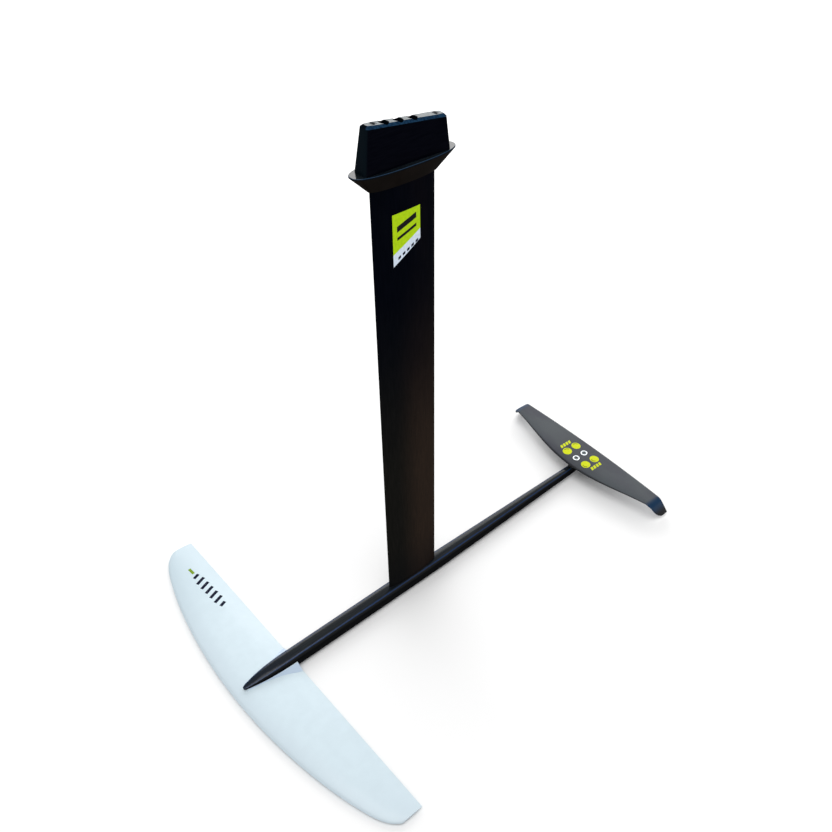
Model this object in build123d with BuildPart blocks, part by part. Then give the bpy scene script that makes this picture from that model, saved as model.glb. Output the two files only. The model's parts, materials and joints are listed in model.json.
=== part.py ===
from build123d import *
from math import cos, radians, sin, sqrt, tan
import os

# Take-down hydrofoil: board head, hollow mast, fuselage, front wing and stabiliser.
# Millimetres. +X points to the nose, +Y to port and +Z up the mast. The origin is on the
# head's top face, half-way between the two board bolts. The face that seats on the board
# is tilted about Y, so that the mast rakes under the board, and the top face is tilted more.

# ---------------------------------------------------------------- driving dimensions
head_height = 60.1
seat_tilt, top_tilt = 1.4, 7.9
head_base_x, head_base_length, head_base_width = 4.6, 156.8, 28.0
head_top_x, head_top_length, head_top_width = 1.2, 144.6, 18.5
head_corner = 6.0
head_bevel = 4.0
counterbore_radius = 7.8
board_bolt_pitch = 110.0
board_insert_radius, board_insert_length = 5.0, 24.0

collar_height = 31.2
collar_x, collar_length, collar_width = 4.0, 188.6, 44.5
collar_fullness = (0.7, 0.7)
collar_rim = 2.5
collar_foot_wall, collar_foot_tail = 2.2, 5.0
collar_edge = 0.6

mast_x = 7.0
mast_chord, mast_thickness = 120.0, 16.0
mast_nose_fullness, mast_tail_fullness = (0.6, 0.6), (0.2, 0.75)
mast_exposed = 889.1
mast_wall = 2.4
mast_socket = 6.0
mast_bolt_x, mast_bolt_pitch, mast_bolt_count = 12.5, 25.0, 3
mast_web = 15.0
gasket_thickness = 0.8
plug_depth = 22.0

seat_gap = 0.3
running_gap = 0.05
clearance_gap = 0.2

m6_radius = 3.0
cap_head_radius, cap_head_height, cap_hex, cap_hex_depth = 5.0, 6.0, 5.0, 3.0
flat_head_radius, flat_hex, flat_hex_depth = 5.6, 4.0, 2.2

fuselage_width, fuselage_height, fuselage_fullness = 33.0, 30.0, 0.8
nose_start, nose_tip = 302.5, 411.0
nose_tip_width, nose_tip_top, nose_tip_bottom = 5.0, 8.2, 11.8
nose_width_power, nose_tip_power, nose_top_power, nose_bottom_power = 0.62, 8, 2.8, 0.9
nose_shares = (0.0, 0.2, 0.39, 0.56, 0.7, 0.81, 0.9, 0.96, 1.0)
nose_split = 5
tail_start, tail_end = -53.0, -534.0
tail_width, tail_height = 15.5, 18.5
tail_drop, tail_bevel = 4.0, 2.0

wing_semi_span = 385.5
wing_trailing_x = 303.0
wing_root_chord = 128.3
wing_taper, wing_tip_taper = 0.49, 0.08
wing_tip_corner, wing_tip_start = 12.0, 0.9
wing_thickness_ratio = 0.118
wing_camber_ratio = 0.024
wing_chord_drop, wing_tip_drop = 23.0, 1.6
wing_skin = 1.6
wing_screw_x = (331.0, 361.0)
saddle_rim_height = 12.5
saddle_rows = (
    (wing_trailing_x + 0.5, 18.6, 34.0, 0.6),
    (345.0, 15.4, 23.0, 4.0),
    (378.0, 11.6, 14.5, 6.0),
    (407.0, 6.0, 8.0, 6.0),
)

stab_semi_span = 203.0
stab_leading_x, stab_trailing_x = -462.3, -547.7
stab_leading_sweep, stab_trailing_sweep = 34.7, 10.0
stab_height, stab_rise = 9.0, 5.0
stab_thickness_ratio, stab_least_share, stab_edge = 0.092, 0.55, 0.9
stab_screw_x = (-488.5, -515.5)
winglet_radius, winglet_angle = 16.0, 64.0
winglet_sweep, winglet_trail_sweep = 6.0, 2.0
foot_sweep, foot_corner, foot_trail_sweep = 14.0, 11.0, 8.0

bottom_align = (Align.CENTER, Align.CENTER, Align.MIN)
top_align = (Align.CENTER, Align.CENTER, Align.MAX)

# ---------------------------------------------------------------- levels down the mast
seat_z = -head_height
collar_foot_z = seat_z - collar_height
fuselage_top_z = collar_foot_z - mast_exposed
fuselage_mid_z = fuselage_top_z - fuselage_height / 2
fuselage_bottom_z = fuselage_top_z - fuselage_height
wing_chord_z = fuselage_top_z - wing_chord_drop
stab_chord_z = fuselage_top_z + stab_height
mast_top_z = seat_z + mast_socket
tail_seat_z = fuselage_top_z - tail_drop
winglet_foot_z = fuselage_bottom_z + 7.5
mast_foot_z = fuselage_top_z + seat_gap + gasket_thickness
mast_bolt_stations = [
    mast_bolt_x + mast_bolt_pitch * (i - (mast_bolt_count - 1) / 2)
    for i in range(mast_bolt_count)
]
os.makedirs("parts", exist_ok=True)


def tilted_plane(x, z, tilt):
    """Plane through (x, 0, z), raised towards the nose by tilt degrees."""
    along = (cos(radians(tilt)), 0, sin(radians(tilt)))
    normal = (-sin(radians(tilt)), 0, cos(radians(tilt)))
    return Plane(origin=(x, 0, z), x_dir=along, z_dir=normal)


def seat_at(x):
    """Height of the board seat at x."""
    return seat_z + x * tan(radians(seat_tilt))


def top_at(x):
    """Height of the head's top face at x."""
    return x * tan(radians(top_tilt))


def finish(builder, name):
    """Labels a finished piece and writes its STEP file."""
    builder.part.label = name
    export_step(builder.part, f"parts/{name}.step")


# ---------------------------------------------------------------- foil sections
def half_thickness(t):
    """Half thickness of a unit-chord, unit-thickness foil at t, with a blunt trailing edge."""
    poly = 0.2969 * sqrt(t) - 0.1260 * t - 0.3516 * t**2 + 0.2843 * t**3 - 0.1015 * t**4
    return 5 * poly


def foil_outline(chord, thickness, camber, blunt=0.5):
    """Closed foil outline from the nose at (0, 0) along +x, drawn in the active BuildLine."""
    stations = [0.0, 0.02, 0.08, 0.2, 0.36, 0.55, 0.76, 1.0]

    def point(t, side):
        mean = 4 * camber * t * (1 - t)
        half = side * (thickness * half_thickness(t) + t * blunt / 2)
        return (chord * t, mean + half)

    upper = Spline(*[point(t, 1) for t in stations], tangents=[(0, 1), (1, -0.12)], tangent_scalars=[0.6, 1])
    lower = Spline(*[point(t, -1) for t in stations], tangents=[(0, -1), (1, 0.12)], tangent_scalars=[0.6, 1])
    Line(upper @ 1, lower @ 1)


def oval_outline(front, back, half_width, front_fullness, back_fullness):
    """Oval about the origin, from +front to -back. Each end's two fullness shares square it off."""
    nose = Bezier(
        (front, 0), (front, front_fullness[0] * half_width), (front_fullness[1] * front, half_width),
        (0, half_width),
    )
    tail = Bezier(
        nose @ 1, (-back_fullness[1] * back, half_width), (-back, back_fullness[0] * half_width), (-back, 0)
    )
    mirror(nose, about=Plane.XZ)
    mirror(tail, about=Plane.XZ)


def rounded_section(x, width, top, bottom):
    """Fuselage section at x: four curves that lie between an ellipse and its square."""
    side, crown = width / 2, (top - bottom) / 2
    plane = Plane(origin=(x, 0, fuselage_top_z + (top + bottom) / 2), x_dir=(0, 1, 0), z_dir=(1, 0, 0))
    with BuildSketch(plane) as section:
        with BuildLine():
            quarter = Bezier(
                (side, 0), (side, fuselage_fullness * crown), (fuselage_fullness * side, crown), (0, crown)
            )
            mirror(quarter, about=Plane.XZ)
            mirror(about=Plane.YZ)
        make_face()
    return section.sketch


def nose_runs(grow):
    """Bullet nose of the fuselage as two runs of sections to loft, grown by a clearance."""
    sections = []
    for share in nose_shares:
        x = nose_start + share * (nose_tip - nose_start)
        width = fuselage_width * (1 - share**2) ** nose_width_power + nose_tip_width * share**nose_tip_power
        top = -nose_tip_top * share**nose_top_power
        bottom = -fuselage_height + (fuselage_height - nose_tip_bottom) * share**nose_bottom_power
        sections.append(rounded_section(x, width + 2 * grow, top + grow, bottom - grow))
    return [sections[: nose_split + 1], sections[nose_split:]]


# ---------------------------------------------------------------- wing planforms
def wing_chord_at(q):
    """Front wing chord at q, the share of the semi span: full, then rounded at the tip."""
    corner = max(0.0, (abs(q) - wing_tip_start) / (1 - wing_tip_start))
    return wing_root_chord * (1 - wing_taper * q**2 - wing_tip_taper * q**8) - wing_tip_corner * corner**3


def wing_sections(stations, rise=0.0, front_wall=0.0, back_wall=0.0, skin=0.0):
    """Foil sections across the front wing. Walls and skin shrink them for the core."""
    sections = []
    for q in stations:
        outer = wing_chord_at(q)
        chord = outer - front_wall - back_wall
        thickness = wing_thickness_ratio * outer - 2 * skin
        lead = wing_trailing_x + outer - front_wall
        origin = (lead, q * wing_semi_span, wing_chord_z - wing_tip_drop * q**2 + rise)
        with BuildSketch(Plane(origin=origin, x_dir=(-1, 0, 0), z_dir=(0, 1, 0))) as section:
            with BuildLine():
                foil_outline(chord, thickness, wing_camber_ratio * chord)
            make_face()
        sections.append(section.sketch)
    return sections


def stab_section(y, z, angle, lead, trail):
    """Foil section of the stabiliser at y, turned down by angle away from the centre line."""
    root_chord = stab_leading_x - stab_trailing_x
    chord = lead - trail
    full_chord = max(chord, stab_least_share * root_chord)
    thickness = stab_thickness_ratio * full_chord * chord / root_chord + stab_edge
    side = -1 if y < 0 else 1
    span_dir = (0, cos(angle), -side * sin(angle))
    origin = (lead, y, stab_chord_z + z)
    with BuildSketch(Plane(origin=origin, x_dir=(-1, 0, 0), z_dir=span_dir)) as section:
        with BuildLine():
            foil_outline(chord, thickness, 0.0)
        make_face()
    return section.sketch


def stab_flat_row(q):
    """Section values at q, the signed share of the span between the winglets."""
    lead = stab_leading_x - stab_leading_sweep * (1.6 * q**2 - 0.6 * q**4)
    trail = stab_trailing_x + stab_trailing_sweep * q**2
    return (q * stab_semi_span, stab_rise * q**2, 0.0, lead, trail)


def winglet_row(share, side):
    """Section values round the winglet's bend, at share of its angle."""
    angle = radians(winglet_angle) * share
    y = stab_semi_span + winglet_radius * sin(angle)
    z = stab_rise - winglet_radius * (1 - cos(angle))
    lead = stab_leading_x - stab_leading_sweep - winglet_sweep * share**2
    trail = stab_trailing_x + stab_trailing_sweep - winglet_trail_sweep * share**2
    return (side * y, z, angle, lead, trail)


def winglet_foot_row(drop, side):
    """Section values on the winglet's straight part, at drop below the end of its bend."""
    y, z, angle, lead, trail = winglet_row(1.0, 1)
    share = drop / (stab_chord_z + z - winglet_foot_z)
    lead -= foot_sweep * share + foot_corner * share**4
    trail -= foot_trail_sweep * share
    return (side * (y + drop / tan(angle)), z - drop, angle, lead, trail)


# ---------------------------------------------------------------- mast outline
oval_x = mast_x + 5.0
oval_front = mast_chord / 2 - 5.0
oval_back = mast_chord / 2 + 5.0


def oval_face(plane, front, back, half_width, fullness=(mast_nose_fullness, mast_tail_fullness)):
    """An oval on a plane, about the mast's thickest line. Fullness is that of its front and back."""
    with BuildSketch(plane) as outline:
        with BuildLine():
            oval_outline(front, back, half_width, *fullness)
        make_face()
    return outline.sketch


def mast_face(z, grow):
    """The mast's outline at height z, grown all round."""
    plane = Plane(origin=(oval_x, 0, z))
    return oval_face(plane, oval_front + grow, oval_back + grow, mast_thickness / 2 + grow)


# ---------------------------------------------------------------- board head
def head_level(plane, length, width):
    """Rounded rectangle across the head."""
    with BuildSketch(plane) as level:
        RectangleRounded(length, width, head_corner)
    return level.sketch


board_bolt_stations = [-board_bolt_pitch / 2, board_bolt_pitch / 2]
insert_recess = 0.8
counterbore_depth = 21.0
washer_thickness = 1.6

with BuildPart() as head_block:
    base_plane = tilted_plane(head_base_x, seat_at(head_base_x), seat_tilt)
    top_plane = tilted_plane(head_top_x, top_at(head_top_x), top_tilt)
    base = head_level(base_plane, head_base_length, head_base_width)
    top = head_level(top_plane, head_top_length, head_top_width)
    loft([base, top])
    chamfer(head_block.faces().sort_by(Axis.Z)[-1].edges(), head_bevel)
    with Locations(*[(x, 0, -counterbore_depth) for x in mast_bolt_stations]):
        Cylinder(counterbore_radius, head_height, align=bottom_align, mode=Mode.SUBTRACT)
    with Locations(*[(x, 0, -head_height) for x in mast_bolt_stations]):
        Cylinder(m6_radius + clearance_gap, head_height, align=bottom_align, mode=Mode.SUBTRACT)
    with Locations(*[(x, 0, top_at(x) - insert_recess - board_insert_length) for x in board_bolt_stations]):
        Cylinder(board_insert_radius, head_height, align=bottom_align, mode=Mode.SUBTRACT)
    socket_foot = mast_face(seat_z - 20.0, seat_gap)
    extrude(socket_foot, amount=20.0 + mast_socket + seat_gap + gasket_thickness, mode=Mode.SUBTRACT)
finish(head_block, "head_block")

with BuildPart() as board_bolt_inserts:
    for x in board_bolt_stations:
        with BuildSketch(Plane(origin=(x, 0, top_at(x) - insert_recess))):
            Circle(board_insert_radius)
            Circle(m6_radius, mode=Mode.SUBTRACT)
        extrude(amount=-board_insert_length)
finish(board_bolt_inserts, "board_bolt_inserts")

with BuildPart() as head_bolt_washers:
    for x in mast_bolt_stations:
        with BuildSketch(Plane(origin=(x, 0, -counterbore_depth))):
            Circle(counterbore_radius - seat_gap)
            Circle(m6_radius + clearance_gap, mode=Mode.SUBTRACT)
        extrude(amount=washer_thickness)
finish(head_bolt_washers, "head_bolt_washers")

head_bolt_seat = washer_thickness - counterbore_depth
head_bolt_length = 75.0
with BuildPart() as head_bolts:
    for x in mast_bolt_stations:
        with BuildSketch(Plane(origin=(x, 0, head_bolt_seat))):
            Circle(cap_head_radius)
        extrude(amount=cap_head_height)
        with BuildSketch(Plane(origin=(x, 0, head_bolt_seat))):
            Circle(m6_radius)
        extrude(amount=-head_bolt_length)
        with BuildSketch(Plane(origin=(x, 0, head_bolt_seat + cap_head_height))):
            RegularPolygon(cap_hex / 2, 6, major_radius=False)
        extrude(amount=-cap_hex_depth, mode=Mode.SUBTRACT)
    chamfer(head_bolts.edges().filter_by(GeomType.CIRCLE).group_by(Axis.Z)[0], 0.8)
    chamfer(head_bolts.edges().filter_by(GeomType.CIRCLE).group_by(Axis.Z)[-1], 0.6)
finish(head_bolts, "head_bolts")

collar_front = collar_x + collar_length / 2 - oval_x
collar_back = oval_x - collar_x + collar_length / 2


def collar_face(depth, inset):
    """The collar's outline on a plane parallel to the seat, at depth below it."""
    sizes = [size - inset for size in (collar_front, collar_back, collar_width / 2)]
    plane = tilted_plane(oval_x, seat_at(oval_x), seat_tilt).offset(-depth)
    return oval_face(plane, *sizes, (collar_fullness, collar_fullness))


with BuildPart() as head_collar:
    foot_plane = tilted_plane(oval_x, collar_foot_z, seat_tilt)
    foot_sizes = (oval_front + collar_foot_wall, oval_back + collar_foot_tail)
    foot = oval_face(foot_plane, *foot_sizes, mast_thickness / 2 + collar_foot_wall)
    rim = collar_face(collar_rim, 0.0)
    loft([foot, rim])
    extrude(rim, amount=collar_rim - collar_edge)
    loft([collar_face(collar_edge, 0.0), collar_face(0.0, collar_edge)])
    extrude(mast_face(collar_foot_z - 10.0, seat_gap), amount=2 * collar_height, mode=Mode.SUBTRACT)
finish(head_collar, "head_collar")

# ---------------------------------------------------------------- mast
foot_bolt_reach = 28.0
cavity_front = oval_front - 2.5 * mast_wall
cavity_back = oval_back - 4.5 * mast_wall
gasket_inset = 0.4

with BuildPart() as mast:
    extrude(mast_face(mast_foot_z, 0), amount=mast_top_z - mast_foot_z)
    with BuildSketch(Plane(origin=(oval_x, 0, mast_foot_z))) as cavities:
        add(oval_face(Plane.XY, cavity_front, cavity_back, mast_thickness / 2 - mast_wall))
        with Locations(*[(x - oval_x, 0) for x in mast_bolt_stations]):
            Rectangle(mast_web, mast_thickness, mode=Mode.SUBTRACT)
    extrude(amount=mast_top_z - mast_foot_z, mode=Mode.SUBTRACT)
    with Locations(*[(x, 0, mast_top_z) for x in mast_bolt_stations]):
        Hole(m6_radius + running_gap)
finish(mast, "mast")

with BuildPart() as mast_end_plugs:
    for level in (mast_foot_z, mast_top_z - plug_depth):
        with BuildSketch(Plane.XY.offset(level)):
            add(cavities.sketch.moved(Location((0, 0, -mast_foot_z))))
        extrude(amount=plug_depth)
finish(mast_end_plugs, "mast_end_plugs")

for name, level in (("mast_top_gasket", mast_top_z), ("mast_foot_gasket", mast_foot_z - gasket_thickness)):
    with BuildPart() as gasket:
        extrude(mast_face(level, -gasket_inset), amount=gasket_thickness)
        with Locations(*[(x, 0, level + gasket_thickness) for x in mast_bolt_stations]):
            Hole(m6_radius + seat_gap)
    finish(gasket, name)

# ---------------------------------------------------------------- fuselage
insert_radius = 4.0
wing_insert_top = fuselage_top_z - 6.0
wing_insert_length = 6.5
stab_insert_length = 12.0
shim_thickness = 2.0
flat_head_recess = 0.6
stab_screw_middle = sum(stab_screw_x) / 2
pad_length, pad_width = 68.0, 14.0

with BuildPart() as wing_clearance:
    loft(wing_sections([-0.2, -0.1, 0.0, 0.1, 0.2], rise=seat_gap))

tail_face = rounded_section(
    tail_end, tail_width - 2 * tail_bevel, -tail_drop - tail_bevel, -tail_drop - tail_height + tail_bevel
)

with BuildPart() as fuselage:
    shoulder = rounded_section(tail_start, fuselage_width, 0, -fuselage_height)
    extrude(shoulder, amount=nose_start - tail_start)
    for run in nose_runs(0):
        loft(run)
    tail = rounded_section(tail_end + tail_bevel, tail_width, -tail_drop, -tail_drop - tail_height)
    loft([shoulder, tail])
    loft([tail, tail_face])
    with Locations((stab_screw_middle, 0, tail_seat_z)):
        Box(pad_length + 2.0, fuselage_width, tail_drop, align=bottom_align, mode=Mode.SUBTRACT)
    with BuildSketch(Plane.XZ.offset(-fuselage_width)):
        with Locations((wing_trailing_x - 2.0, wing_chord_z)):
            Rectangle(130, 30, align=(Align.MIN, Align.MAX))
    extrude(amount=2 * fuselage_width, mode=Mode.SUBTRACT)
    add(wing_clearance.part, mode=Mode.SUBTRACT)
    with Locations(Plane.XY.offset(fuselage_bottom_z + flat_head_recess).reverse()):
        with Locations(*[(x, 0) for x in mast_bolt_stations]):
            CounterSinkHole(m6_radius + clearance_gap, flat_head_radius + clearance_gap)
    for x in wing_screw_x:
        with BuildSketch(Plane(origin=(x, 0, wing_chord_z))):
            Circle(insert_radius)
        extrude(amount=wing_insert_top - wing_chord_z, mode=Mode.SUBTRACT)
    with Locations(*[(x, 0, tail_seat_z) for x in stab_screw_x]):
        Hole(insert_radius, depth=stab_insert_length)
finish(fuselage, "fuselage")

with BuildPart() as mast_foot_bolts:
    for x in mast_bolt_stations:
        with BuildSketch(Plane(origin=(x, 0, fuselage_bottom_z + flat_head_recess))):
            Circle(m6_radius)
        extrude(amount=mast_foot_z + foot_bolt_reach - fuselage_bottom_z)
    with Locations(*[(x, 0, fuselage_bottom_z + flat_head_recess) for x in mast_bolt_stations]):
        Cone(flat_head_radius, m6_radius, flat_head_radius - m6_radius, align=bottom_align)
    for x in mast_bolt_stations:
        with BuildSketch(Plane(origin=(x, 0, fuselage_bottom_z + flat_head_recess))):
            RegularPolygon(flat_hex / 2, 6, major_radius=False)
        extrude(amount=flat_hex_depth, mode=Mode.SUBTRACT)
    chamfer(mast_foot_bolts.edges().filter_by(GeomType.CIRCLE).group_by(Axis.Z)[-1], 0.8)
finish(mast_foot_bolts, "mast_foot_bolts")

with BuildPart() as wing_thread_inserts:
    for x in wing_screw_x:
        with BuildSketch(Plane(origin=(x, 0, wing_insert_top))):
            Circle(insert_radius)
            Circle(m6_radius + running_gap, mode=Mode.SUBTRACT)
        extrude(amount=-wing_insert_length)
finish(wing_thread_inserts, "wing_thread_inserts")

with BuildPart() as stabiliser_thread_inserts:
    for x in stab_screw_x:
        with BuildSketch(Plane(origin=(x, 0, tail_seat_z))):
            Circle(insert_radius)
            Circle(m6_radius + running_gap, mode=Mode.SUBTRACT)
        extrude(amount=-stab_insert_length)
finish(stabiliser_thread_inserts, "stabiliser_thread_inserts")

with BuildPart() as trim_shim:
    with BuildSketch(Plane(origin=(stab_screw_middle, 0, tail_seat_z))):
        RectangleRounded(pad_length, pad_width, 4.0)
    extrude(amount=shim_thickness)
    with Locations(*[(x, 0, tail_seat_z + shim_thickness) for x in stab_screw_x]):
        Hole(m6_radius + seat_gap)
finish(trim_shim, "trim_shim")

# ---------------------------------------------------------------- front wing
span_stations = [0.0, 0.1, 0.25, 0.4, 0.55, 0.7, 0.82, 0.91, 0.965, 1.0]
core_stations = [0.0, 0.1, 0.25, 0.4, 0.55, 0.7, 0.8, 0.86]
ferrule_radius, ferrule_length = 6.0, 5.2
ferrule_foot_z = wing_chord_z - 1.0
core_front_wall, core_back_wall = 5.0, 17.0
wing_insert_length_x, wing_insert_width = 62.0, 30.0
wing_screw_middle = sum(wing_screw_x) / 2
wing_screw_tip = wing_insert_top - 0.6
countersink_depth = flat_head_radius - m6_radius - clearance_gap


def both_sides(stations):
    """Stations from the starboard tip to the port tip."""
    return [-q for q in reversed(stations[1:])] + stations


def core_sections():
    """Foil sections of the hollow that the skin encloses."""
    return wing_sections(both_sides(core_stations), 0.4, core_front_wall, core_back_wall, wing_skin)


def saddle_section(x, rim, foot, foot_height):
    """Half-hexagon across the saddle that carries the nose: half widths, and height of the foot."""
    with BuildSketch(Plane(origin=(x, 0, wing_chord_z), x_dir=(0, 1, 0), z_dir=(1, 0, 0))) as section:
        with BuildLine():
            Polyline(
                (-foot, 0), (-foot, foot_height), (-rim, saddle_rim_height),
                (rim, saddle_rim_height), (foot, foot_height), (foot, 0), close=True,
            )
        make_face()
    return section.sketch


with BuildPart() as saddle:
    loft([saddle_section(*row) for row in saddle_rows], ruled=True)
    for run in nose_runs(seat_gap):
        loft(run, mode=Mode.SUBTRACT)

with BuildPart() as wing_shape:
    loft(wing_sections(both_sides(span_stations)))

with BuildPart() as front_wing_skin:
    add(wing_shape.part)
    add(saddle.part)
    loft(core_sections(), mode=Mode.SUBTRACT)
    for x in wing_screw_x:
        with BuildSketch(Plane(origin=(x, 0, wing_chord_z - 10.0))):
            Circle(ferrule_radius)
        extrude(amount=10.0 + ferrule_foot_z - wing_chord_z + ferrule_length, mode=Mode.SUBTRACT)
        with BuildSketch(Plane(origin=(x, 0, wing_chord_z))):
            Circle(m6_radius + clearance_gap)
        extrude(amount=20.0, mode=Mode.SUBTRACT)
finish(front_wing_skin, "front_wing_skin")

with BuildPart() as front_wing_insert:
    loft(core_sections())
    with Locations((wing_screw_middle, 0, wing_chord_z)):
        Box(wing_insert_length_x, wing_insert_width, 40.0, mode=Mode.INTERSECT)
    for x in wing_screw_x:
        with BuildSketch(Plane(origin=(x, 0, wing_chord_z - 10.0))):
            Circle(ferrule_radius)
        extrude(amount=10.0 + ferrule_foot_z - wing_chord_z + ferrule_length, mode=Mode.SUBTRACT)
        with BuildSketch(Plane(origin=(x, 0, wing_chord_z))):
            Circle(m6_radius + clearance_gap)
        extrude(amount=20.0, mode=Mode.SUBTRACT)
finish(front_wing_insert, "front_wing_insert")

with BuildPart() as front_wing_core:
    loft(core_sections())
    with Locations((wing_screw_middle, 0, wing_chord_z)):
        Box(wing_insert_length_x, wing_insert_width, 40.0, mode=Mode.SUBTRACT)
finish(front_wing_core, "front_wing_core")

with BuildPart() as front_wing_ferrules:
    for x in wing_screw_x:
        with BuildSketch(Plane(origin=(x, 0, ferrule_foot_z))):
            Circle(ferrule_radius)
        extrude(amount=ferrule_length)
    with Locations(*[(x, 0, ferrule_foot_z) for x in wing_screw_x]):
        bore_radius = m6_radius + clearance_gap
        Cone(flat_head_radius, bore_radius, countersink_depth, align=bottom_align, mode=Mode.SUBTRACT)
        Cylinder(bore_radius, ferrule_length, align=bottom_align, mode=Mode.SUBTRACT)
finish(front_wing_ferrules, "front_wing_ferrules")

with BuildPart() as front_wing_screws:
    with Locations(*[(x, 0, ferrule_foot_z) for x in wing_screw_x]):
        Cone(flat_head_radius, m6_radius, flat_head_radius - m6_radius, align=bottom_align)
        Cylinder(m6_radius, wing_screw_tip - ferrule_foot_z, align=bottom_align)
    for x in wing_screw_x:
        with BuildSketch(Plane(origin=(x, 0, ferrule_foot_z))):
            RegularPolygon(flat_hex / 2, 6, major_radius=False)
        extrude(amount=flat_hex_depth, mode=Mode.SUBTRACT)
finish(front_wing_screws, "front_wing_screws")

# ---------------------------------------------------------------- stabiliser
cup_radius, cup_thickness = 8.3, 2.8
cone_foot_radius = flat_head_radius - cup_thickness
stab_chord = stab_leading_x - stab_trailing_x
stab_screw_length = 26.0
pad_foot_z = tail_seat_z + shim_thickness + seat_gap
winglet_drop = stab_chord_z + winglet_row(1.0, 1)[1] - winglet_foot_z
bend_shares, foot_shares = (0.0, 0.34, 0.67, 1.0), (0.0, 0.5, 0.85, 1.0)
cup_proud = 0.3


def stab_top(x):
    """Height of the stabiliser's upper surface on the centre line at x."""
    share = (stab_leading_x - x) / stab_chord
    return stab_chord_z + (stab_thickness_ratio * stab_chord + stab_edge) * half_thickness(share)


with BuildPart() as stabiliser:
    loft([stab_section(*stab_flat_row(q)) for q in both_sides([0.0, 0.25, 0.5, 0.75, 1.0])])
    for side in (-1, 1):
        loft([stab_section(*winglet_row(share, side)) for share in bend_shares])
        loft([stab_section(*winglet_foot_row(share * winglet_drop, side)) for share in foot_shares])
    with BuildSketch(Plane(origin=(stab_screw_middle, 0, pad_foot_z))):
        RectangleRounded(pad_length, pad_width, 4.0)
    extrude(amount=stab_chord_z - pad_foot_z)
    for x in stab_screw_x:
        with BuildSketch(Plane(origin=(x, 0, stab_top(x) + cup_proud - cup_thickness))):
            Circle(cup_radius)
        extrude(amount=5.0, mode=Mode.SUBTRACT)
        with BuildSketch(Plane(origin=(x, 0, tail_seat_z))):
            Circle(m6_radius + clearance_gap)
        extrude(amount=stab_screw_length, mode=Mode.SUBTRACT)
finish(stabiliser, "stabiliser")

with BuildPart() as stabiliser_cup_washers:
    for x in stab_screw_x:
        with BuildSketch(Plane(origin=(x, 0, stab_top(x) + cup_proud - cup_thickness))):
            Circle(cup_radius)
        extrude(amount=cup_thickness)
        with Locations((x, 0, stab_top(x) + cup_proud)):
            Cone(cone_foot_radius, flat_head_radius, cup_thickness, align=top_align, mode=Mode.SUBTRACT)
            Cylinder(m6_radius + clearance_gap, cup_thickness, align=top_align, mode=Mode.SUBTRACT)
    rings = stabiliser_cup_washers.edges().filter_by(GeomType.CIRCLE)
    chamfer(rings.filter_by(lambda ring: ring.radius > flat_head_radius + 1.0), 0.35)
finish(stabiliser_cup_washers, "stabiliser_cup_washers")

with BuildPart() as stabiliser_screws:
    for x in stab_screw_x:
        with Locations((x, 0, stab_top(x) + cup_proud)):
            Cone(m6_radius, flat_head_radius, flat_head_radius - m6_radius, align=top_align)
            Cylinder(m6_radius, stab_screw_length, align=top_align)
        with BuildSketch(Plane(origin=(x, 0, stab_top(x) + cup_proud))):
            RegularPolygon(flat_hex / 2, 6, major_radius=False)
        extrude(amount=-flat_hex_depth, mode=Mode.SUBTRACT)
finish(stabiliser_screws, "stabiliser_screws")
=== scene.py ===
import json
import math

import bmesh
import bpy
from mathutils import Matrix, Vector
from mathutils.bvhtree import BVHTree


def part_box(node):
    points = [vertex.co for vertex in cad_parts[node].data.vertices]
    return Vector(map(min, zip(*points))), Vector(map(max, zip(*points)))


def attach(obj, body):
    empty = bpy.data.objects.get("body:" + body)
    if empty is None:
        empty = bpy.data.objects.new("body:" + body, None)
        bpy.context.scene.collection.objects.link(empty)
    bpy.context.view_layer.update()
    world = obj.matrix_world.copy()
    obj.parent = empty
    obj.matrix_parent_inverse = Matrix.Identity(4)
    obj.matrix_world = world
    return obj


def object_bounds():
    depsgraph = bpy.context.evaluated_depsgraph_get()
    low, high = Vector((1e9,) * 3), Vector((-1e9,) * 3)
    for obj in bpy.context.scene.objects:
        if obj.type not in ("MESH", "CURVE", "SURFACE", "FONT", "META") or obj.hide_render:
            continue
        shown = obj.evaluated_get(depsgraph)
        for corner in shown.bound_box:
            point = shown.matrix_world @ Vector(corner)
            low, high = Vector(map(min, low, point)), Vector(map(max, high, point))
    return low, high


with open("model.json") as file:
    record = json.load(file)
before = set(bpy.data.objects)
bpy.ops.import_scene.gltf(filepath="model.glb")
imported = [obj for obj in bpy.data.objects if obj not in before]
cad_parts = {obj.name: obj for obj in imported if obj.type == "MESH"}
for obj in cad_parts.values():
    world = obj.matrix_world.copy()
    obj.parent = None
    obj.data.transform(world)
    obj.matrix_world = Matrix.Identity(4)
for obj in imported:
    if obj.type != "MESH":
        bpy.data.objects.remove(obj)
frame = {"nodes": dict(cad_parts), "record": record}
nodes = frame["nodes"]
cad_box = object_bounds()

MM = 0.001
STABILISER_SCREWS = (-488.5, -515.5)  # x of the two screws, mm
TRIM_DISCS = (-489.5, -519.3)  # x of the two trim marks on each side, mm
INK_LIFT = 0.06 * MM  # ink straight on a surface
OVERPRINT_LIFT = 0.14 * MM  # ink on top of other ink
FILM = 0.05 * MM
LONGEST_INK_EDGE = 2.5 * MM
DOWN = (0, 0, -1)


# ---------------------------------------------------------------- camera
def outward(azimuth, elevation):
    """Unit vector away from the object at this azimuth and elevation, in degrees."""
    turn, lift = math.radians(azimuth), math.radians(elevation)
    return Vector((math.sin(turn) * math.cos(lift), -math.cos(turn) * math.cos(lift), math.sin(lift)))


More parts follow.
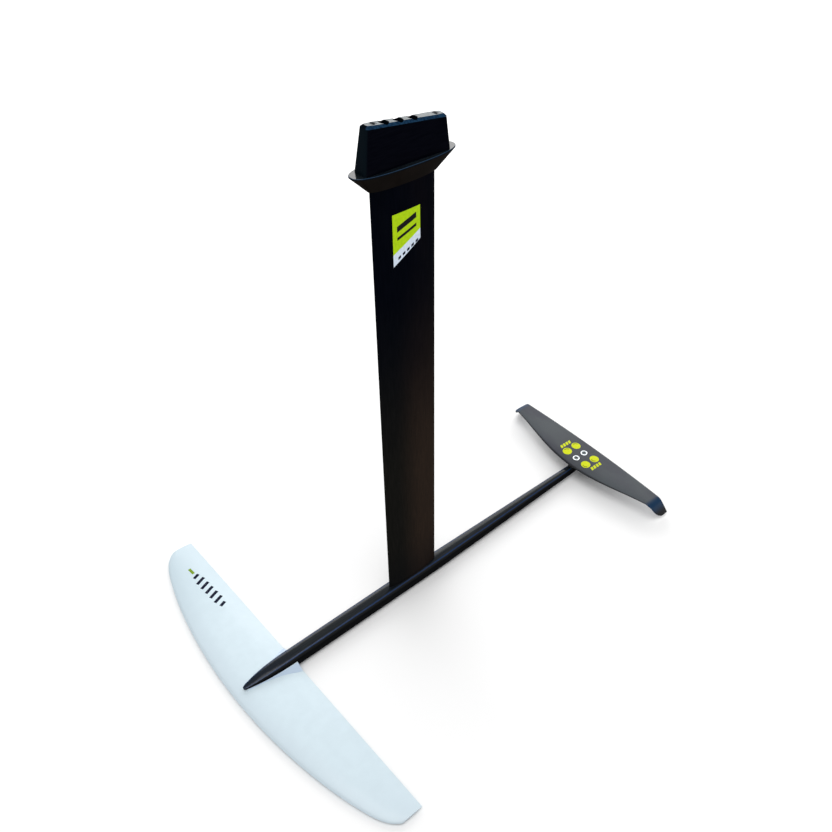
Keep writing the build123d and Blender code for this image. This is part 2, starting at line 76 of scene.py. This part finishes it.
def look(position, azimuth, elevation, roll):
    """Camera placed at position that looks back along outward(), rolled by roll degrees."""
    back = outward(azimuth, elevation)
    tilt = math.radians(roll)
    level = Vector((0, 0, 1)).cross(back).normalized()
    upright = back.cross(level)
    right = math.cos(tilt) * level + math.sin(tilt) * upright
    up = math.cos(tilt) * upright - math.sin(tilt) * level
    return Matrix.Translation(position) @ Matrix((right, up, back)).transposed().to_4x4()


camera_data = bpy.data.cameras.new("camera")
camera_data.sensor_width = 36.0
camera_data.lens = 40.39
camera_data.shift_x = -0.0769
camera_data.clip_end = 50.0
camera = bpy.data.objects.new("camera", camera_data)
bpy.context.scene.collection.objects.link(camera)
camera.matrix_world = look((0.7684, 0.9618, 0.5548), 135.743, 41.875, 2.539)
bpy.context.scene.camera = camera


# ---------------------------------------------------------------- node helpers
class Shader:
    """A material with one Principled shader and short calls for the nodes that feed it."""

    def __init__(self, name, **constants):
        self.material = bpy.data.materials.new(name)
        self.material.use_nodes = True
        self.tree = self.material.node_tree
        self.shader = next(n for n in self.tree.nodes if n.type == "BSDF_PRINCIPLED")
        for socket, value in constants.items():
            self.shader.inputs[socket.replace("_", " ")].default_value = value
        self.place = self.tree.nodes.new("ShaderNodeTexCoord")

    def node(self, kind, inputs=(), **settings):
        """A new node; inputs maps its sockets to values or to other nodes' outputs."""
        node = self.tree.nodes.new(kind)
        for key, value in settings.items():
            setattr(node, key, value)
        for socket, value in dict(inputs).items():
            if isinstance(value, bpy.types.NodeSocket):
                self.tree.links.new(value, node.inputs[socket])
            else:
                node.inputs[socket].default_value = value
        return node

    def position(self, scale=(1, 1, 1)):
        """Place on the object in metres, stretched by scale."""
        return self.node(
            "ShaderNodeMapping", {"Vector": self.place.outputs["Object"], "Scale": scale}
        ).outputs["Vector"]

    def axis(self, letter):
        """One coordinate of the place on the object, in metres."""
        split = self.node("ShaderNodeSeparateXYZ", {"Vector": self.place.outputs["Object"]})
        return split.outputs[letter]

    def facing(self, letter):
        """One component of the surface's own normal."""
        split = self.node("ShaderNodeSeparateXYZ", {"Vector": self.place.outputs["Normal"]})
        return split.outputs[letter]

    def distance(self, x):
        """Level distance from the upright line at (x, 0), in metres."""
        inputs = {0: self.position((1, 1, 0)), 1: (x, 0, 0)}
        return self.node("ShaderNodeVectorMath", inputs, operation="DISTANCE").outputs["Value"]

    def math(self, operation, *values):
        """A Math node's result."""
        return self.node("ShaderNodeMath", dict(enumerate(values)), operation=operation).outputs[0]

    def noise(self, size, scale=(1, 1, 1), detail=3.0, roughness=0.5):
        """Noise of about this feature size in metres, from 0 to 1."""
        inputs = {
            "Vector": self.position(scale),
            "Scale": 1 / size,
            "Detail": detail,
            "Roughness": roughness,
        }
        return self.node("ShaderNodeTexNoise", inputs).outputs["Fac"]

    def remap(self, value, low, high, new_low=0.0, new_high=1.0):
        """value's stretch from low to high turned smoothly into new_low to new_high, and clamped."""
        inputs = {"Value": value, "From Min": low, "From Max": high, "To Min": new_low, "To Max": new_high}
        return self.node("ShaderNodeMapRange", inputs, interpolation_type="SMOOTHSTEP").outputs["Result"]

    def blend(self, share, first, second):
        """Mix of two colours by share."""
        mix = self.tree.nodes.new("ShaderNodeMix")
        mix.data_type = "RGBA"
        for socket, value in ((0, share), (6, first), (7, second)):
            if isinstance(value, bpy.types.NodeSocket):
                self.tree.links.new(value, mix.inputs[socket])
            else:
                mix.inputs[socket].default_value = value
        return mix.outputs[2]

    def feed(self, socket, output):
        """Link an output to one of the shader's own sockets."""
        self.tree.links.new(output, self.shader.inputs[socket])

    def colour(self, output):
        self.feed("Base Color", output)

    def rough(self, output):
        self.feed("Roughness", output)

    def bump(self, height, depth, strength):
        """Relief of this depth in metres."""
        inputs = {"Height": height, "Distance": depth, "Strength": strength}
        self.feed("Normal", self.node("ShaderNodeBump", inputs).outputs["Normal"])


def rgb(red, green, blue):
    """Linear colour with alpha from display values of 0 to 255."""

    def linear(value):
        share = value / 255
        return share / 12.92 if share <= 0.04045 else ((share + 0.055) / 1.055) ** 2.4

    return (linear(red), linear(green), linear(blue), 1.0)


# ---------------------------------------------------------------- materials
def mast_carbon():
    """Black carbon with fibres along the mast, navy at the top; lower down it carries a painted floor
    reflection in warmer greys, lighter towards the trailing edge, and painted shade darkens it near the
    foot.
    """
    low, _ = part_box("mast")
    m = Shader("mast_carbon", Specular_IOR_Level=0.0, Coat_Weight=0.015, Coat_Roughness=0.14)
    fibres = m.noise(0.0009, (1, 1, 0.03), detail=2.0)
    flow = m.noise(0.06, (1, 1, 0.35), detail=4.0)
    navy = m.blend(m.remap(fibres, 0.35, 0.7), rgb(1, 3, 9), rgb(4, 6, 14))
    # painted floor reflection: warmer grey lower down, lighter still towards the trailing edge
    warm_floor_reflection = m.blend(m.remap(fibres, 0.35, 0.7), rgb(17, 17, 15), rgb(24, 23, 21))
    aft_floor_reflection = m.blend(m.remap(fibres, 0.35, 0.7), rgb(38, 30, 25), rgb(46, 36, 29))
    # share of the painted floor reflection: none near the top, full lower down, moved a little by the flow
    # noise
    height = m.remap(m.axis("Z"), low.z + 0.74, low.z + 0.28)
    down = m.math("ADD", height, m.remap(flow, 0.2, 0.8, -0.08, 0.08))
    # share of the lighter painted reflection towards the trailing edge
    back = m.remap(m.axis("X"), 0.045, -0.02)
    base = m.blend(down, navy, m.blend(back, warm_floor_reflection, aft_floor_reflection))
    # painted shade near the foot, where the painted floor reflection falls off above the fuselage
    base = m.blend(m.remap(m.axis("Z"), low.z + 0.13, low.z, 0.0, 0.45), base, rgb(12, 14, 18))
    m.colour(base)
    m.rough(m.remap(flow, 0.2, 0.8, 0.34, 0.5))
    m.bump(fibres, 0.00002, 0.35)
    return m.material


def fuselage_carbon():
    """Clear-coated carbon with black sides; the brown-grey crown is a painted sheen, and the fine blue line
    along each shoulder is a painted reflection.
    """
    m = Shader("fuselage_carbon", Specular_IOR_Level=0.0, Coat_Roughness=0.16)
    fibres = m.noise(0.0009, (0.03, 1, 1), detail=2.0)
    flow = m.noise(0.04, (0.3, 1, 1), detail=4.0)
    side = m.blend(m.remap(fibres, 0.35, 0.7), rgb(9, 10, 12), rgb(17, 18, 19))
    # crown: painted sheen, lighter grey than the sides over the fibre grain, as if lit from above
    crown = m.blend(m.remap(fibres, 0.35, 0.7), rgb(15, 20, 25), rgb(32, 37, 41))
    crown = m.blend(m.remap(flow, 0.35, 0.75, 0.0, 0.5), crown, rgb(20, 24, 27))
    # the painted crown sheen turns dark navy towards the nose
    crown = m.blend(m.remap(m.axis("X"), 0.24, 0.4), crown, rgb(9, 20, 31))
    up = m.facing("Z")
    # painted reflection: a fine blue line along each shoulder, set by how far the surface faces up
    line = m.math("MULTIPLY", m.remap(up, 0.84, 0.89), m.remap(up, 0.975, 0.93))
    base = m.blend(m.remap(up, 0.7, 0.95), side, crown)
    base = m.blend(line, base, rgb(18, 46, 84))
    m.colour(base)
    m.feed("Coat Weight", m.remap(up, 0.3, 0.85, 0.03, 0.55))
    m.rough(m.remap(flow, 0.2, 0.8, 0.34, 0.5))
    m.bump(fibres, 0.00002, 0.35)
    return m.material


def head_lacquer():
    """Black-navy lacquer: a painted blue sheen on the bevel, a painted teal highlight on the rounded ends,
    and a lighter grey top face that is partly its polished finish and partly a painted highlight.
    """
    m = Shader("head_lacquer", Specular_IOR_Level=0.0, Coat_Roughness=0.18)
    fibres = m.noise(0.0012, (0.05, 1, 1), detail=2.0)
    wear = m.noise(0.004, detail=5.0)
    side = m.blend(m.remap(fibres, 0.3, 0.7), rgb(1, 2, 8), rgb(5, 6, 14))
    # painted blue sheen for the bevel
    bevel = m.blend(m.remap(wear, 0.3, 0.7), rgb(14, 34, 56), rgb(28, 58, 84))
    # top face: partly its polished finish, partly a painted highlight
    polished = m.blend(m.remap(wear, 0.25, 0.75), rgb(52, 62, 66), rgb(84, 94, 96))
    up = m.facing("Z")
    broad = m.remap(m.math("ABSOLUTE", m.facing("Y")), 0.15, 0.5)
    # painted teal highlight on the rounded ends
    painted_end_highlight = m.remap(m.math("ABSOLUTE", m.facing("X")), 0.3, 0.8)
    side = m.blend(painted_end_highlight, side, rgb(8, 16, 22))
    # painted sheen on the bevel faces of the broad sides
    base = m.blend(m.math("MULTIPLY", m.remap(up, 0.3, 0.55), broad), side, bevel)
    # lighter top face, partly finish and partly painted highlight
    base = m.blend(m.remap(up, 0.86, 0.95), base, polished)
    m.colour(base)
    m.feed("Coat Weight", m.remap(up, 0.8, 0.96, 0.02, 0.55))
    m.rough(m.remap(wear, 0.2, 0.8, 0.34, 0.46))
    m.bump(m.math("ADD", fibres, wear), 0.00002, 0.4)
    return m.material


def collar_coat():
    """Warm black moulded composite with a polished seat face; the blue line round the rim is a painted
    sheen.
    """
    m = Shader("collar_coat", Specular_IOR_Level=0.0, Coat_Roughness=0.12)
    grain = m.noise(0.0007, detail=6.0, roughness=0.65)
    cloud = m.noise(0.03, detail=3.0)
    cone = m.blend(m.remap(cloud, 0.3, 0.7), rgb(13, 10, 8), rgb(18, 14, 12))
    cone = m.blend(m.remap(grain, 0.4, 0.75, 0.0, 0.5), cone, rgb(25, 20, 17))
    seat = m.blend(m.remap(cloud, 0.3, 0.7), rgb(12, 17, 21), rgb(20, 26, 30))
    up = m.facing("Z")
    base = m.blend(m.remap(up, -0.25, -0.1), cone, rgb(13, 16, 22))
    # painted sheen: a blue line round the rim, set by how far the surface faces up
    base = m.blend(m.remap(up, 0.3, 0.6), base, rgb(26, 52, 76))
    base = m.blend(m.remap(up, 0.85, 0.97), base, seat)
    m.colour(base)
    m.feed("Coat Weight", m.remap(up, 0.5, 0.95, 0.02, 1.0))
    m.rough(m.remap(grain, 0.2, 0.8, 0.45, 0.62))
    m.bump(grain, 0.00004, 0.5)
    return m.material


def wing_gelcoat():
    """Icy white gelcoat, a little deeper towards the leading edge and the tips, with painted shade over the
    starboard half and on the tilted faces by the root.
    """
    _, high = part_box("front_wing_skin")
    m = Shader("wing_white", Specular_IOR_Level=0.35, Coat_Weight=0.15, Coat_Roughness=0.08)
    span = m.math("ABSOLUTE", m.axis("Y"))
    forward = m.math("ADD", m.axis("X"), m.math("MULTIPLY", m.math("POWER", span, 2.0), 0.42))
    edge = m.remap(forward, high.x - 0.045, high.x, 0.0, 0.8)
    tip = m.remap(span, 0.25, 0.39, 0.0, 0.6)
    mottle = m.noise(0.018, detail=4.0)
    speck = m.noise(0.0011, detail=2.0)
    base = m.blend(m.remap(mottle, 0.3, 0.7), rgb(207, 223, 231), rgb(210, 226, 234))
    base = m.blend(m.math("MAXIMUM", edge, tip), base, rgb(204, 219, 228))
    # painted shade: the starboard half is a little darker and greyer, more towards its tip
    base = m.blend(m.remap(m.axis("Y"), -0.12, -0.34, 0.0, 0.6), base, rgb(192, 210, 219))
    base = m.blend(m.remap(speck, 0.66, 0.8, 0.0, 0.35), base, rgb(199, 214, 222))
    # painted shade on the faces near the root that tilt away from straight up
    painted_saddle_shade = m.math("MULTIPLY", m.remap(span, 0.036, 0.03), m.remap(m.facing("Z"), 0.97, 0.9))
    painted_saddle_shade = m.math("MULTIPLY", painted_saddle_shade, m.remap(m.axis("X"), 0.408, 0.398))
    base = m.blend(painted_saddle_shade, base, rgb(194, 212, 232))
    m.colour(base)
    m.rough(m.remap(m.noise(0.04, detail=1.0), 0.2, 0.8, 0.3, 0.34))
    m.bump(m.noise(0.0035, detail=1.0), 0.00001, 0.2)
    return m.material


def stabiliser_slate():
    """Satin slate lacquer: dark edges, a painted shadow ring round each screw, navy winglets."""
    m = Shader("stabiliser_slate", Specular_IOR_Level=0.15, Coat_Weight=0.03, Coat_Roughness=0.2)
    low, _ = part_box("stabiliser")
    span = m.math("ABSOLUTE", m.axis("Y"))
    flake = m.noise(0.0006, detail=3.0, roughness=0.7)
    cloud = m.noise(0.05, (1, 0.5, 1), detail=4.0)
    tone = m.remap(cloud, 0.35, 0.65)
    base = m.blend(tone, rgb(62, 64, 72), rgb(69, 74, 78))
    base = m.blend(m.remap(flake, 0.5, 0.8, 0.0, 0.4), base, rgb(96, 101, 108))
    base = m.blend(m.remap(span, 0.02, 0.12, 0.45, 0.0), base, rgb(52, 54, 60))
    base = m.blend(m.remap(m.facing("X"), 0.1, 0.5, 0.0, 0.85), base, rgb(22, 24, 28))
    # painted shadow: a dark ring round each screw's washer
    for x in STABILISER_SCREWS:
        base = m.blend(m.remap(m.distance(x * MM), 0.0108, 0.0088), base, rgb(26, 28, 32))
    base = m.blend(m.remap(span, 0.197, 0.213), base, rgb(18, 50, 80))
    base = m.blend(m.remap(m.axis("Z"), low.z + 0.03, low.z + 0.008), base, rgb(9, 12, 17))
    m.colour(base)
    m.rough(m.remap(flake, 0.2, 0.8, 0.38, 0.52))
    m.bump(flake, 0.00002, 0.4)
    return m.material


def stainless(name, bright, stained):
    """Brushed stainless with small turned marks."""
    m = Shader(name, Metallic=1.0)
    brush = m.noise(0.0004, (1, 12, 1), detail=3.0)
    stain = m.noise(0.003, detail=4.0)
    m.colour(m.blend(m.remap(stain, 0.3, 0.75), bright, stained))
    m.rough(m.remap(brush, 0.2, 0.8, 0.2, 0.38))
    m.bump(brush, 0.00001, 0.5)
    return m.material


def brass():
    """Machined brass with fine turned rings."""
    m = Shader("insert_brass", Metallic=1.0)
    rings = m.noise(0.0005, (1, 1, 10), detail=2.0)
    m.colour(m.blend(rings, rgb(168, 132, 66), rgb(205, 170, 98)))
    m.rough(m.remap(rings, 0.2, 0.8, 0.24, 0.4))
    m.bump(rings, 0.00001, 0.5)
    return m.material


def plain_moulding(name, dark, light, grain_size, rough_low, rough_high, relief):
    """Rubber, resin, foam or moulded plastic: grain in colour, roughness and relief, sizes in mm."""
    m = Shader(name, Specular_IOR_Level=0.3)
    grain = m.noise(grain_size * MM, detail=5.0, roughness=0.6)
    m.colour(m.blend(m.remap(grain, 0.3, 0.7), dark, light))
    m.rough(m.remap(grain, 0.2, 0.8, rough_low, rough_high))
    m.bump(grain, relief * MM, 0.6)
    return m.material


def ink(name, main, faded):
    """Screen-printed ink: slight patchiness and the lacquer's fine speckle."""
    m = Shader(name, Specular_IOR_Level=0.06)
    patch = m.noise(0.004, detail=5.0)
    speck = m.noise(0.0007, detail=2.0)
    base = m.blend(m.remap(patch, 0.3, 0.75), main, faded)
    base = m.blend(m.remap(speck, 0.6, 0.8, 0.0, 0.3), base, faded)
    m.colour(base)
    m.rough(m.remap(patch, 0.2, 0.8, 0.34, 0.48))
    m.bump(speck, 0.00001, 0.4)
    return m.material


materials = {
    "head_lacquer": head_lacquer(),
    "collar_coat": collar_coat(),
    "mast_carbon": mast_carbon(),
    "fuselage_carbon": fuselage_carbon(),
    "wing_white": wing_gelcoat(),
    "stabiliser_slate": stabiliser_slate(),
    "foam_core": plain_moulding("foam_core", rgb(205, 190, 150), rgb(226, 212, 172), 1.2, 0.8, 0.95, 0.2),
    "seal_rubber": plain_moulding("seal_rubber", rgb(16, 16, 16), rgb(30, 30, 31), 0.8, 0.6, 0.8, 0.05),
    "plug_resin": plain_moulding("plug_resin", rgb(34, 36, 38), rgb(52, 54, 56), 1.5, 0.5, 0.7, 0.06),
    "shim_plastic": plain_moulding("shim_plastic", rgb(30, 33, 36), rgb(46, 49, 52), 0.9, 0.4, 0.6, 0.03),
    "insert_brass": brass(),
    "stainless": stainless("stainless", rgb(214, 217, 219), rgb(176, 180, 184)),
}
slots = {part["node"]: part["material_slot"] for part in frame["record"]["subparts"]}
finishes = {node: materials[slot] for node, slot in slots.items()}
# dark steel on the parts seated in the head's holes, darker than the stainless elsewhere
dark_steel = stainless("dark_steel_finish", rgb(58, 62, 66), rgb(36, 39, 43))
for node in ("board_bolt_inserts", "head_bolts", "head_bolt_washers"):
    finishes[node] = dark_steel
finishes["stabiliser_screws"] = stainless("socket_steel", rgb(96, 102, 104), rgb(70, 76, 78))
for node, finish in finishes.items():
    for place in nodes[node].material_slots:
        place.material = finish

lime_ink = ink("lime_ink", rgb(184, 222, 8), rgb(168, 206, 10))
white_ink = ink("white_ink", rgb(224, 236, 250), rgb(206, 220, 238))
navy_ink = ink("navy_ink", rgb(12, 16, 38), rgb(20, 26, 50))
black_ink = ink("black_ink", rgb(4, 5, 9), rgb(10, 11, 16))
yellow_ink = ink("yellow_ink", rgb(208, 216, 26), rgb(194, 204, 30))
moss_ink = ink("moss_ink", rgb(128, 158, 40), rgb(116, 146, 44))
olive_ink = ink("olive_ink", rgb(96, 108, 30), rgb(112, 124, 34))


# ---------------------------------------------------------------- printed marks
surfaces = {}


def surface_of(node):
    """Search tree over a CAD node's faces."""
    if node not in surfaces:
        surfaces[node] = BVHTree.FromObject(nodes[node], bpy.context.evaluated_depsgraph_get())
    return surfaces[node]


def printed(name, node, body, material, outlines, aim, lift=INK_LIFT):
    """Ink film on a CAD surface: flat outlines in metres, dropped along aim onto the surface."""
    aim = Vector(aim)
    mesh = bmesh.new()
    for outline in outlines:
        face = mesh.faces.new([mesh.verts.new(point) for point in outline])
        face.normal_update()
        if face.normal.dot(aim) > 0:
            face.normal_flip()
    bmesh.ops.triangulate(mesh, faces=mesh.faces[:])
    for _ in range(8):
        long_edges = [edge for edge in mesh.edges if edge.calc_length() > LONGEST_INK_EDGE]
        if not long_edges:
            break
        bmesh.ops.subdivide_edges(mesh, edges=long_edges, cuts=1)
        bmesh.ops.triangulate(mesh, faces=mesh.faces[:])
    tree = surface_of(node)
    for vert in mesh.verts:
        hit, normal, _, _ = tree.ray_cast(vert.co - aim * 0.2, aim)
        if hit is None:
            raise ValueError(f"{name} misses {node} at {tuple(vert.co)}")
        vert.co = hit + normal * lift
    data = bpy.data.meshes.new(name)
    mesh.to_mesh(data)
    mesh.free()
    data.materials.append(material)
    piece = bpy.data.objects.new(name, data)
    bpy.context.scene.collection.objects.link(piece)
    solid = piece.modifiers.new("film", "SOLIDIFY")
    solid.thickness = FILM
    solid.offset = -1.0
    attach(piece, body)


def mast_emblem(side, label):
    """Lime panel with a slanted white foot and two dark slanted stripes, on one side of the mast."""

    def at(x, z):
        return Vector((x * MM, 0.02 * side, z * MM))

    def stripe(front_top, height, front=26.0, back=-11.0, rise=12.5):
        edge = [(front, front_top), (back, front_top + rise)]
        return [at(x, z) for x, z in edge] + [at(x, z - height) for x, z in reversed(edge)]

    def put(name, material, outlines, lift=INK_LIFT):
        printed(f"{name}_{label}", "mast", "mast_body", material, outlines, (0, -side, 0), lift)

    front, back = 34.0, -19.0
    top, front_split, back_split, front_foot, back_foot = -136.0, -203.5, -175.5, -224.5, -192.5
    panel = [at(front, top), at(back, top), at(back, back_split), at(front, front_split)]
    put("mast_panel", lime_ink, [panel])
    foot = [at(front, front_split), at(back, back_split), at(back, back_foot), at(front, front_foot)]
    put("mast_panel_foot", white_ink, [foot])
    put("mast_stripes", black_ink, [stripe(-157.5, 9.5), stripe(-176.0, 5.0)], OVERPRINT_LIFT)
    dash_pitch, dash_slope = 8.5, 26.0 / 53.0
    dashes = []
    for step in range(5):
        x = 25.0 - dash_pitch * step
        z = -209.8 + dash_pitch * step * dash_slope
        dashes.append([at(x, z), at(x - 5.0, z + 2.5), at(x - 5.0, z - 2.0), at(x, z - 4.5)])
    put("mast_dashes", navy_ink, dashes, OVERPRINT_LIFT)


def bar(x, y, length, width, angle, slant=0.0):
    """Flat slanted bar about (x, y) in mm, its length along angle in degrees."""
    turn = math.radians(angle)
    along = Vector((math.cos(turn), math.sin(turn), 0))
    across = Vector((-math.sin(turn), math.cos(turn), 0))
    middle = Vector((x * MM, y * MM, 0))
    corners = ((-1, -1), (1, -1), (1, 1), (-1, 1))
    return [
        middle + (u * length / 2 + v * slant) * MM * along + v * width / 2 * MM * across for u, v in corners
    ]


def arc(x, y, radius, start, sweep, steps):
    """Points along an arc about (x, y), lengths in mm and angles in degrees."""
    turns = [math.radians(start + sweep * i / steps) for i in range(steps + 1)]
    return [Vector(((x + radius * math.cos(t)) * MM, (y + radius * math.sin(t)) * MM, 0)) for t in turns]


def disc(x, y, radius, sides=40):
    """Flat round outline."""
    return arc(x, y, radius, 0.0, 360.0, sides)[:-1]


def crescent(x, y, radius, width, start, sweep):
    """Flat band along an arc."""
    outer = arc(x, y, radius, start, sweep, 20)
    inner = arc(x, y, radius - width, start, sweep, 20)
    return outer + inner[::-1]


def wing_mark():
    """Generic run of slanted bars near the starboard tip of the front wing."""
    first, pitch = -198.0, 16.0
    lengths = (14, 22, 22, 22, 22, 22, 14)
    dark = [
        bar(337.0 + 0.05 * pitch * step, first - pitch * step, length, 6.4, 24.0)
        for step, length in enumerate(lengths)
    ]
    printed("wing_mark_bars", "front_wing_skin", "front_wing_body", navy_ink, dark, DOWN)
    lime = [bar(342.5, -312.0, 6.0, 17.0, 3.0)]
    printed("wing_mark_lime_bar", "front_wing_skin", "front_wing_body", moss_ink, lime, DOWN)


def trim_marks(side, label):
    """Round trim marks beside the stabiliser's screws, with a short row of bars outside them."""

    def put(name, material, outlines, lift=INK_LIFT):
        printed(f"{name}_{label}", "stabiliser", "stabiliser_body", material, outlines, DOWN, lift)

    y = side * 29.3
    arc_start = 195.0 if side < 0 else -25.0
    put("trim_discs", yellow_ink, [disc(x, y, 11.0) for x in TRIM_DISCS])
    arcs = [crescent(x, y, 8.4, 2.0, arc_start, 90.0) for x in TRIM_DISCS]
    put("trim_arcs", olive_ink, arcs, OVERPRINT_LIFT)
    bars = [bar(-503.8 + 8.6 * (step - 1.5), side * 48.5, 6.4, 8.6, 0.0, 1.6) for step in range(4)]
    put("trim_bars", yellow_ink, bars)


SIDES = ((1, "port"), (-1, "starboard"))
for side, label in SIDES:
    mast_emblem(side, label)
wing_mark()
for side, label in SIDES:
    trim_marks(side, label)


# ---------------------------------------------------------------- stage and light
def floor():
    """Large pale floor under the lowest point; it goes down with the front wing as that comes off, and
    glows as painted light, more with distance from the middle.
    """
    level = cad_box[0][2]
    reach = 30.0
    m = Shader("floor_paint", Roughness=0.85, Specular_IOR_Level=0.1, Emission_Color=(1, 1, 1, 1))
    m.colour(m.blend(m.noise(0.4, detail=2.0), (0.94, 0.94, 0.94, 1), (0.96, 0.96, 0.96, 1)))
    # painted light: the floor glows, more with distance from the middle, keeping the far floor white
    m.feed("Emission Strength", m.remap(m.distance(0), 1.5, 6.0, 0.0, 0.55))
    bm = bmesh.new()
    corners = ((-reach, -reach), (reach, -reach), (reach, reach), (-reach, reach))
    bm.faces.new([bm.verts.new((x, y, level)) for x, y in corners])
    data = bpy.data.meshes.new("floor")
    bm.to_mesh(data)
    bm.free()
    data.materials.append(m.material)
    plane = bpy.data.objects.new("floor", data)
    bpy.context.scene.collection.objects.link(plane)
    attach(plane, "front_wing_body")


def softbox(name, azimuth, elevation, distance, width, height, power):
    """Soft rectangular light that faces the middle of the object."""
    target = Vector((0.0, 0.0, -0.55))
    away = outward(azimuth, elevation)
    data = bpy.data.lights.new(name, "AREA")
    data.shape = "RECTANGLE"
    data.size, data.size_y = width, height
    data.energy = power
    light = bpy.data.objects.new(name, data)
    bpy.context.scene.collection.objects.link(light)
    light.location = target + distance * away
    light.rotation_euler = away.to_track_quat("Z", "Y").to_euler()
    light.visible_camera = False


floor()
softbox("far_panel", 318.0, 22.0, 3.6, 5.2, 2.3, 104.0)
softbox("top_panel", 120.0, 78.0, 3.6, 3.0, 3.0, 74.0)

world = bpy.data.worlds.new("studio")
bpy.context.scene.world = world
world.use_nodes = True
background = next(n for n in world.node_tree.nodes if n.type == "BACKGROUND")
background.inputs["Color"].default_value = (1.0, 1.0, 1.0, 1.0)
background.inputs["Strength"].default_value = 0.53
bpy.context.scene.view_settings.view_transform = "Standard"
